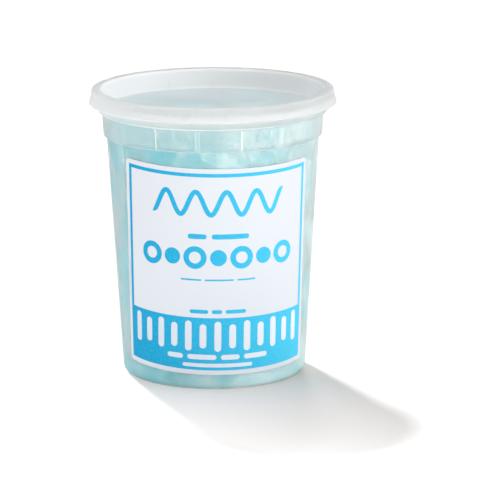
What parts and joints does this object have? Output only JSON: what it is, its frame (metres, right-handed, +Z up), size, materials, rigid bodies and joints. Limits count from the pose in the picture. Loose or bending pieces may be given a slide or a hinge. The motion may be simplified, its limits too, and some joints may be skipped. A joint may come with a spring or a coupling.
{
  "type": "lidded tub of cotton candy",
  "caption": "Round tapered tub of translucent plastic with a recessed press-on lid, filled with pale blue cotton candy, a square label on its front.",
  "frame": {"origin": "middle of the foot that the tub stands on", "axes": "+Z up the tub's axis to the lid, -Y out of the front, where the label is"},
  "size_m": [0.1196, 0.1196, 0.1394],
  "materials": {
    "tub_plastic": "milky translucent, satin",
    "lid_plastic": "milky translucent, satin",
    "spun_sugar": "soft matte floss",
    "label_paper": "smooth printed paper"
  },
  "bodies": {
    "root": {"tub": "tub_plastic", "lid": "lid_plastic", "cotton_candy": "spun_sugar", "label": "label_paper"}
  },
  "joints": []
}
